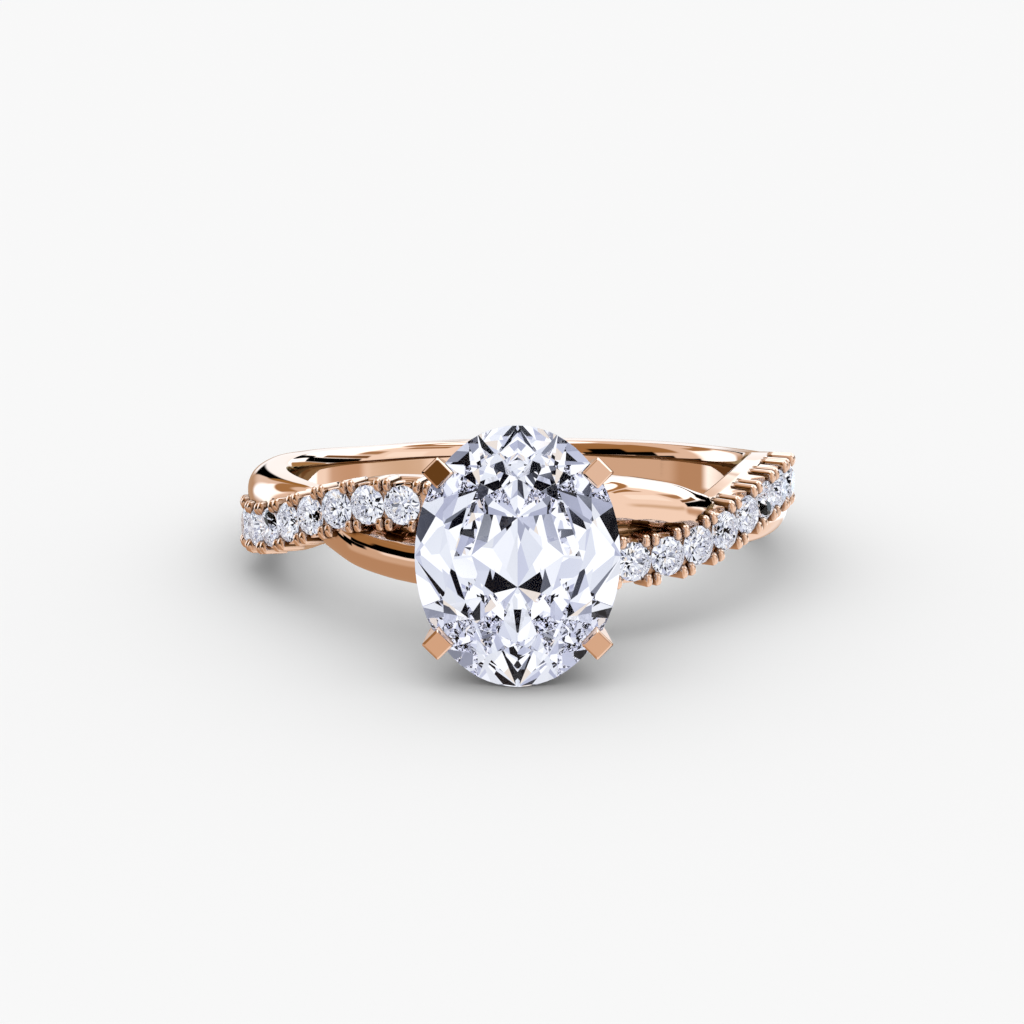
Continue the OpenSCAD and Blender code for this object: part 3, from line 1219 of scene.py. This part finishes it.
def polish_group() -> bpy.types.NodeTree:
    """Shared effect: the fine marks that polishing leaves, as roughness and height.

    Returns:
        The node group, with outputs Roughness and Height.
    """
    tree = node_group("polish_marks", ("Least", "Most"), ("Roughness", "Height"))
    n = Nodes(tree)
    given = n.add("NodeGroupInput")
    out = n.add("NodeGroupOutput")
    where = n.add("ShaderNodeTexCoord")
    cloud = n.add("ShaderNodeTexNoise", {"Scale": 420.0, "Detail": 3.0, "Roughness": 0.6})
    n.link(where.outputs["Object"], cloud.inputs["Vector"])
    stretch = n.add("ShaderNodeMapping", {"Scale": (900.0, 900.0, 9000.0)})
    n.link(where.outputs["Object"], stretch.inputs["Vector"])
    hair = n.add("ShaderNodeTexNoise", {"Scale": 1.0, "Detail": 2.0})
    n.link(stretch.outputs["Vector"], hair.inputs["Vector"])
    span = n.math("SUBTRACT", given.outputs["Most"], given.outputs["Least"])
    rough = n.math("MULTIPLY_ADD", cloud.outputs[0], span, given.outputs["Least"])
    n.link(rough, out.inputs["Roughness"])
    n.link(hair.outputs[0], out.inputs["Height"])
    return tree


def polished(
    name: str, marks: bpy.types.NodeTree, least: float, most: float
) -> tuple[bpy.types.Material, Nodes, bpy.types.Node]:
    """Start a material whose roughness follows the marks of polishing.

    Args:
        name: Name of the material.
        marks: The shared group of polishing marks.
        least: Roughness between the marks.
        most: Roughness where they are strongest.

    Returns:
        The material, the helper of its nodes, and the marks' node.
    """
    material = bpy.data.materials.new(name)
    material.use_nodes = True
    n = Nodes(material.node_tree)
    effect = n.add("ShaderNodeGroup", {"Least": least, "Most": most}, node_tree=marks)
    n.link(effect.outputs["Roughness"], n.tree.nodes["Principled BSDF"].inputs["Roughness"])
    return material, n, effect


@dataclass(frozen=True)
class GoldFinish:
    """High polish on rose gold, with painted shade: the base colour turns dark brown where the
    gold is hemmed in.

    The reach of the painted crevice shade and the height of the marks are in metres.
    """

    colour: Colour = (0.93, 0.69, 0.54)
    least_rough: float = 0.012
    most_rough: float = 0.045
    mark_depth: float = 0.012
    mark_height: float = 0.00002
    crevice_shade_colour: Colour = (0.2, 0.085, 0.025)
    crevice_shade_reach: float = 0.0002
    crevice_shade_from: float = 0.3
    crevice_shade_to: float = 0.8
    crevice_shade_samples: int = 6

    def build(self, name: str, marks: bpy.types.NodeTree) -> bpy.types.Material:
        """Make the material.

        Args:
            name: Name of the material.
            marks: The shared group of polishing marks.

        Returns:
            The material.
        """
        material, n, effect = polished(name, marks, self.least_rough, self.most_rough)
        surface = n.tree.nodes["Principled BSDF"]
        # Painted shade: ambient occlusion mixes the base colour towards a dark brown in creases,
        # hollows and between parts.
        reach = {"Distance": self.crevice_shade_reach}
        crevice_occlusion = n.add("ShaderNodeAmbientOcclusion", reach, samples=self.crevice_shade_samples)
        unshaded_share = n.add("ShaderNodeMapRange", {1: self.crevice_shade_from, 2: self.crevice_shade_to})
        n.link(crevice_occlusion.outputs["AO"], unshaded_share.inputs[0])
        n.link(n.mix(unshaded_share.outputs[0], self.crevice_shade_colour, self.colour), surface.inputs["Base Color"])
        surface.inputs["Metallic"].default_value = 1.0
        depth = {"Strength": self.mark_depth, "Distance": self.mark_height}
        bump = n.add("ShaderNodeBump", depth)
        n.link(effect.outputs["Height"], bump.inputs["Height"])
        n.link(bump.outputs["Normal"], surface.inputs["Normal"])
        return material


@dataclass(frozen=True)
class DiamondFinish:
    """Cut diamond: clear facets, or the finely ground girdle."""

    colour: Colour = (0.985, 0.987, 0.995)
    least_rough: float = 0.0
    most_rough: float = 0.003
    refraction: float = 2.1
    shine: float = 0.05
    mirror_inside: bool = False
    mirror_colour: Colour = (0.99, 0.99, 1.0)

    def build(self, name: str, marks: bpy.types.NodeTree) -> bpy.types.Material:
        """Make the material.

        Args:
            name: Name of the material.
            marks: The shared group of polishing marks.

        Returns:
            The material.
        """
        material, n, _ = polished(name, marks, self.least_rough, self.most_rough)
        surface = n.tree.nodes["Principled BSDF"]
        surface.inputs["Base Color"].default_value = (*self.colour, 1.0)
        surface.inputs["Transmission Weight"].default_value = 1.0
        surface.inputs["IOR"].default_value = self.refraction
        surface.inputs["Specular Tint"].default_value = (*[self.shine] * 3, 1.0)
        if self.mirror_inside:
            self._mirror(n, surface)
        return material

    def _mirror(self, n: Nodes, surface: bpy.types.Node) -> None:
        """Turn all light back that meets the facets from inside the stone.

        Args:
            n: Helper of the material's nodes.
            surface: Shader of the facets as they are seen from outside.
        """
        tint = {"Color": (*self.mirror_colour, 1.0), "Roughness": 0.0}
        mirror = n.add("ShaderNodeBsdfAnisotropic", tint)
        side = n.add("ShaderNodeNewGeometry")
        both = n.add("ShaderNodeMixShader")
        n.link(side.outputs["Backfacing"], both.inputs[0])
        n.link(surface.outputs[0], both.inputs[1])
        n.link(mirror.outputs[0], both.inputs[2])
        n.link(both.outputs[0], n.tree.nodes["Material Output"].inputs["Surface"])


class Finishes:
    """The ring's materials."""

    def __init__(self) -> None:
        """Make all materials round one group of polishing marks."""
        marks = polish_group()
        # The claws' gold is a copy with stronger, wider painted shade, which darkens it between
        # the claws and beside the stones.
        beads = GoldFinish(
            crevice_shade_colour=(0.13, 0.05, 0.012), crevice_shade_reach=0.0007, crevice_shade_from=0.42, crevice_shade_to=0.92
        )
        ground = DiamondFinish(least_rough=0.25, most_rough=0.35)
        neutral = DiamondFinish(colour=(0.985, 0.985, 0.97))
        self.gold = GoldFinish().build("rose_gold_polish", marks)
        self.bead_gold = beads.build("rose_gold_beads", marks)
        self.facet = DiamondFinish().build("diamond_facets", marks)
        self.girdle = ground.build("diamond_girdle", marks)
        self.back = DiamondFinish(mirror_inside=True).build("diamond_pavilion", marks)
        self.small_facet = neutral.build("diamond_small_facets", marks)


# Studio


def screen_to_linear(part: int) -> float:
    """Light that shows as a value from 0 to 255 on a screen."""
    value = part / 255.0
    return value / 12.92 if value <= 0.04045 else ((value + 0.055) / 1.055) ** 2.4


@dataclass(frozen=True)
class Panel:
    """A lit or dark field of the studio, by its directions from the ring.

    Angles are in degrees: across from the camera's side (-Y), positive towards +X, and up
    from the floor.
    """

    across: float
    up: float
    half_across: float
    half_up: float
    soft: float
    colour: Colour


BLACK: Colour = (0.0, 0.0, 0.0)
DARK_BROWN: Colour = (0.36, 0.2, 0.08)
BROWN: Colour = (0.4, 0.23, 0.1)
SKY: Colour = (1.5, 1.7, 1.9)
SIDE_SKY: Colour = (1.4, 1.6, 1.8)


def panel_group() -> bpy.types.NodeTree:
    """Shared effect: 1 inside a field of directions and 0 outside it.

    Returns:
        The node group, with output Mask.
    """
    names = ("Across", "Up", "Middle Across", "Middle Up", "Half Across", "Half Up", "Soft")
    tree = node_group("studio_field", names, ("Mask",))
    n = Nodes(tree)
    given = n.add("NodeGroupInput")
    out = n.add("NodeGroupOutput")
    masks = []
    for angle in ("Across", "Up"):
        off = n.math("SUBTRACT", given.outputs[angle], given.outputs[f"Middle {angle}"])
        off = n.math("PINGPONG", off, 180.0)
        inside = n.math("SUBTRACT", given.outputs[f"Half {angle}"], off)
        share = n.math("DIVIDE", inside, given.outputs["Soft"])
        ease = n.add("ShaderNodeMapRange", {1: -0.5, 2: 0.5}, interpolation_type="SMOOTHSTEP")
        n.link(share, ease.inputs[0])
        masks.append(ease.outputs[0])
    n.link(n.math("MULTIPLY", masks[0], masks[1]), out.inputs["Mask"])
    return tree


def even_directions(count: int) -> Points:
    """Directions that are spread evenly over the whole sphere, on one spiral.

    Args:
        count: How many there are.

    Returns:
        The directions, one row each.
    """
    steps = np.arange(count) + 0.5
    turn = math.pi * (1.0 + math.sqrt(5.0)) * steps
    z = 1.0 - 2.0 * steps / count
    radius = np.sqrt(1.0 - z * z)
    return np.stack([radius * np.cos(turn), radius * np.sin(turn), z], axis=1)


@dataclass
class Sparkle:
    """Light and dark flags round the ring, which the stones' facets pick up one by one.

    A few waves that cross each other make the flags. Each row of shades is the share of
    all directions that is darker than the shade, and the shade as a screen shows it.
    """

    waves: int = 5
    pitch: float = 17.0
    seed: int = 220
    start_span: float = 6.283
    shift: float = 0.03
    gain: float = 1.15
    samples: int = 20000
    shades: tuple[tuple[float, tuple[int, int, int]], ...] = (
        (0.0, (4, 4, 6)),
        (0.15, (6, 6, 14)),
        (0.165, (60, 62, 74)),
        (0.18, (112, 116, 128)),
        (0.23, (146, 150, 168)),
        (0.28, (172, 176, 198)),
        (0.36, (194, 198, 216)),
        (0.42, (208, 212, 224)),
        (0.5, (222, 226, 234)),
        (0.6, (238, 240, 246)),
        (0.62, (214, 217, 224)),
        (0.68, (222, 225, 232)),
        (0.7, (246, 248, 253)),
        (0.95, (250, 251, 254)),
        (0.96, (226, 216, 206)),
    )

    def __post_init__(self) -> None:
        """Draw the directions in which the waves run, and where each one starts."""
        rng = np.random.default_rng(self.seed)
        axes = rng.normal(size=(self.waves, 3))
        self.axes = axes / np.linalg.norm(axes, axis=1, keepdims=True)
        self.starts = rng.uniform(0.0, self.start_span, self.waves)

    def places(self) -> Points:
        """Work out which heights of the waves give each shade its share.

        Returns:
            One height from 0 to 1 for each of the shades.
        """
        directions = even_directions(self.samples)
        directions[:, 0] = np.abs(directions[:, 0] + self.shift)
        waves = np.sin(self.pitch * directions @ self.axes.T + self.starts)
        heights = 0.5 + 0.5 * waves.mean(axis=1)
        places = np.quantile(heights, [share for share, _ in self.shades])
        places[0] = 0.0
        return places

    def build(self, n: Nodes, direction: tuple[object, object, object]) -> object:
        """Make the flags' nodes.

        Args:
            n: Helper of the world's node tree.
            direction: Outputs that give the direction's three parts.

        Returns:
            The output of the colour.
        """
        x, y, z = direction
        even = n.add("ShaderNodeCombineXYZ")
        n.link(n.math("ABSOLUTE", n.math("ADD", x, self.shift)), even.inputs[0])
        n.link(y, even.inputs[1])
        n.link(z, even.inputs[2])
        height: object = 0.5
        for axis, start in zip(self.axes * self.pitch, self.starts):
            along = n.add("ShaderNodeVectorMath", {1: axis}, operation="DOT_PRODUCT")
            n.link(even.outputs[0], along.inputs[0])
            wave = n.math("SINE", n.math("ADD", along.outputs["Value"], float(start)))
            height = n.math("ADD", height, n.math("MULTIPLY", wave, 0.5 / self.waves))
        ramp = n.add("ShaderNodeValToRGB")
        n.link(height, ramp.inputs[0])
        stops = ramp.color_ramp.elements
        while len(stops) < len(self.shades):
            stops.new(1.0)
        for stop, place, (_, shade) in zip(stops, self.places(), self.shades):
            stop.position = place
            stop.color = (*[screen_to_linear(part) for part in shade], 1.0)
        bright = n.add("ShaderNodeVectorMath", {"Scale": self.gain}, operation="SCALE")
        n.link(ramp.outputs[0], bright.inputs[0])
        return bright.outputs[0]


@dataclass
class Studio:
    """Pale floor, backdrop and light.

    The gold's panels lie over each other, the last one on top. A ray that has met gold
    more than once is dimmed, and its bounces are counted from the camera. Daylight falls on
    matt things and grows from the first angle above the floor to the second.
    """

    backdrop: Colour = (0.938, 0.938, 0.938)
    daylight: tuple[float, float] = (0.7, 1.43)
    daylight_angles: tuple[float, float] = (5.0, 75.0)
    floor_albedo: float = 0.84
    floor_half: float = 3.0
    gold_base: Colour = (0.8, 0.68, 0.6)
    gold_again: tuple[tuple[float, Colour], ...] = (
        (2.5, (0.26, 0.235, 0.15)),
        (3.5, (0.1, 0.115, 0.08)),
    )
    gold_panels: tuple[Panel, ...] = (
        Panel(95.0, -10.0, 64.0, 80.0, 14.0, (0.97, 0.9, 0.86)),
        Panel(142.0, 28.0, 42.0, 34.0, 12.0, SKY),
        Panel(-112.0, -46.0, 78.0, 44.0, 12.0, (0.5, 0.33, 0.21)),
        Panel(-62.0, -4.0, 26.0, 11.0, 11.0, (0.66, 0.51, 0.4)),
        Panel(-50.0, 6.0, 8.0, 5.0, 4.0, (0.97, 0.93, 0.92)),
        Panel(-60.0, 34.0, 38.0, 18.0, 5.0, DARK_BROWN),
        Panel(64.0, 21.0, 12.0, 8.0, 4.0, (1.05, 1.05, 1.05)),
        Panel(62.0, 46.0, 17.0, 5.0, 3.0, DARK_BROWN),
        Panel(92.0, 27.0, 9.0, 6.0, 6.0, (0.42, 0.26, 0.14)),
        Panel(66.0, -4.0, 18.0, 3.5, 8.0, (0.68, 0.55, 0.43)),
        Panel(107.0, 13.5, 20.0, 3.5, 2.5, (0.19, 0.1, 0.04)),
        Panel(-132.0, 4.0, 20.0, 18.0, 8.0, SIDE_SKY),
        Panel(0.0, 6.0, 16.0, 30.0, 8.0, (0.7, 0.52, 0.39)),
        Panel(180.0, 0.0, 12.0, 9.0, 5.0, (1.06, 1.1, 1.15)),
        Panel(0.0, 90.0, 400.0, 24.0, 5.0, SKY),
        Panel(-142.0, 27.0, 26.0, 5.0, 3.0, BROWN),
        Panel(100.0, 60.0, 70.0, 5.0, 3.0, BROWN),
        Panel(100.0, -9.0, 14.0, 5.0, 9.0, (0.6, 0.42, 0.3)),
        Panel(140.0, -6.0, 22.0, 5.0, 3.0, (0.4, 0.24, 0.1)),
        Panel(150.0, -16.0, 24.0, 4.0, 3.0, SIDE_SKY),
        Panel(-171.0, 17.0, 7.0, 8.0, 3.0, (0.35, 0.18, 0.05)),
        Panel(-50.0, 57.0, 36.0, 6.0, 4.0, DARK_BROWN),
        Panel(-58.0, 14.0, 22.0, 5.5, 2.0, BLACK),
        Panel(-78.0, 4.0, 13.0, 4.5, 2.0, BLACK),
        Panel(-95.0, -2.0, 16.0, 4.0, 2.0, BLACK),
        Panel(-52.0, 20.0, 11.0, 11.0, 3.0, BLACK),
        Panel(116.0, 4.0, 25.0, 5.0, 2.0, BLACK),
        Panel(152.0, 9.5, 15.0, 3.0, 2.0, BLACK),
        Panel(-170.0, 3.0, 4.5, 7.0, 2.0, BLACK),
        Panel(-20.0, 17.0, 9.0, 9.0, 3.0, (0.14, 0.07, 0.02)),
    )

    def build(self) -> None:
        """Make the floor and the world's light."""
        self._floor()
        self._world()

    def _floor(self) -> None:
        """A large pale floor, which the studio's fields replace in mirrors and gems."""
        mesh = bpy.data.meshes.new("studio_floor")
        h = self.floor_half
        mesh.from_pydata([(-h, -h, 0), (h, -h, 0), (h, h, 0), (-h, h, 0)], [], [(0, 1, 2, 3)])
        floor = bpy.data.objects.new("studio_floor", mesh)
        bpy.context.scene.collection.objects.link(floor)
        floor.visible_glossy = False
        floor.visible_transmission = False
        material = bpy.data.materials.new("pale_floor")
        material.use_nodes = True
        surface = material.node_tree.nodes["Principled BSDF"]
        surface.inputs["Base Color"].default_value = (*[self.floor_albedo] * 3, 1.0)
        surface.inputs["Roughness"].default_value = 1.0
        surface.inputs["Specular IOR Level"].default_value = 0.0
        mesh.materials.append(material)

    def _gold_light(self, n: Nodes, across: object, up: object, ray: bpy.types.Node) -> object:
        """Lay the panels over the base colour, and dim what gold shows in gold.

        Args:
            n: Helper of the world's node tree.
            across: Output of the direction's angle across.
            up: Output of its angle above the floor.
            ray: The node that tells what kind of ray asks.

        Returns:
            The output of the colour.
        """
        group = panel_group()
        colour: object = self.gold_base
        for panel in self.gold_panels:
            values = {
                "Middle Across": panel.across,
                "Middle Up": panel.up,
                "Half Across": panel.half_across,
                "Half Up": panel.half_up,
                "Soft": panel.soft,
            }
            mask = n.add("ShaderNodeGroup", values, node_tree=group)
            n.link(across, mask.inputs["Across"])
            n.link(up, mask.inputs["Up"])
            colour = n.mix(mask.outputs[0], colour, panel.colour)
        tint: object = (1.0, 1.0, 1.0)
        for bounces, dimmed in self.gold_again:
            deep = n.math("GREATER_THAN", ray.outputs["Ray Depth"], bounces)
            tint = n.mix(deep, tint, dimmed)
        dim = n.add("ShaderNodeVectorMath", operation="MULTIPLY")
        n.link(colour, dim.inputs[0])
        n.link(tint, dim.inputs[1])
        return dim.outputs[0]

    def _world(self) -> None:
        """Pale backdrop, even daylight on matt things, and fields for metal and gems."""
        world = bpy.data.worlds.new("studio")
        bpy.context.scene.world = world
        world.use_nodes = True
        world.cycles.sampling_method = "NONE"
        n = Nodes(world.node_tree)
        where = n.add("ShaderNodeTexCoord")
        parts = n.add("ShaderNodeSeparateXYZ")
        n.link(where.outputs["Generated"], parts.inputs[0])
        x, y, z = parts.outputs
        to_front = n.math("MULTIPLY", y, -1.0)
        across = n.math("DEGREES", n.math("ARCTAN2", x, to_front))
        up = n.math("DEGREES", n.math("ARCSINE", z))
        ray = n.add("ShaderNodeLightPath")
        gold = self._gold_light(n, across, up, ray)
        gem = Sparkle().build(n, (x, y, z))
        low, high = self.daylight_angles
        dome = n.add("ShaderNodeMapRange", {1: low, 2: high}, interpolation_type="SMOOTHSTEP")
        n.link(up, dome.inputs[0])
        dome.inputs[3].default_value, dome.inputs[4].default_value = self.daylight
        colour = n.mix(ray.outputs["Is Glossy Ray"], dome.outputs[0], gold)
        colour = n.mix(ray.outputs["Is Transmission Ray"], colour, gem)
        colour = n.mix(ray.outputs["Is Camera Ray"], colour, self.backdrop)
        n.link(colour, world.node_tree.nodes["Background"].inputs["Color"])


@dataclass
class Shot:
    """The camera, at the photograph's angle to the ring.

    Distances are in metres, angles in degrees, the focal length and the sensor in
    millimetres, and the shift in pixels of the photograph's frame.
    """

    ring: RingFrame
    distance: float = 0.2
    above_hoop: float = 8.51
    focal: float = 192.4
    sensor: float = 36.0
    near: float = 0.01
    far: float = 20.0
    frame_px: int = 1024
    shift_px: tuple[float, float] = (-5.6, -17.0)

    def build(self) -> None:
        """Make the camera and let the scene use it."""
        data = bpy.data.cameras.new("camera")
        camera = bpy.data.objects.new("camera", data)
        bpy.context.scene.collection.objects.link(camera)
        data.sensor_width = self.sensor
        data.lens = self.focal
        data.clip_start = self.near
        data.clip_end = self.far
        data.shift_x = self.shift_px[0] / self.frame_px
        data.shift_y = self.shift_px[1] / self.frame_px
        up = math.radians(self.above_hoop) + self.ring.lean
        middle = self.ring.middle
        camera.location = (
            float(middle[0]),
            float(middle[1]) - self.distance * math.cos(up),
            float(middle[2]) + self.distance * math.sin(up),
        )
        camera.rotation_mode = "YXZ"
        camera.rotation_euler = (math.pi / 2 - up, 0.0, 0.0)
        bpy.context.scene.camera = camera


def set_quality() -> None:
    """Let light bounce often enough inside the stones, and keep the tones as they are."""
    scene = bpy.context.scene
    cycles = scene.cycles
    cycles.max_bounces = 48
    cycles.glossy_bounces = 40
    cycles.transmission_bounces = 40
    cycles.diffuse_bounces = 3
    cycles.sample_clamp_indirect = 6.0
    cycles.blur_glossy = 0.0
    cycles.caustics_reflective = False
    cycles.caustics_refractive = False
    scene.view_settings.view_transform = "Standard"


def main() -> None:
    """Build the ring, its studio and its camera."""
    logging.basicConfig(level=logging.INFO, format="%(message)s")
    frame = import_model()
    ring = RingFrame(frame["record"])
    shop = Workshop(ring)
    sizes = Sizes()
    hoop = Hoop(sizes, Course())
    finishes = Finishes()
    hoop.make(shop, finishes.gold)
    Claws(hoop).make(shop, finishes.bead_gold)
    Head(sizes).make(shop, finishes.gold)
    Stones(hoop).make(shop, finishes)
    Studio().build()
    Shot(ring).build()
    set_quality()
    for piece in shop.made:
        LOG.info("%s: %d faces", piece.name, len(piece.data.polygons))
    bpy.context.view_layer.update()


if __name__ == "__main__":
    main()
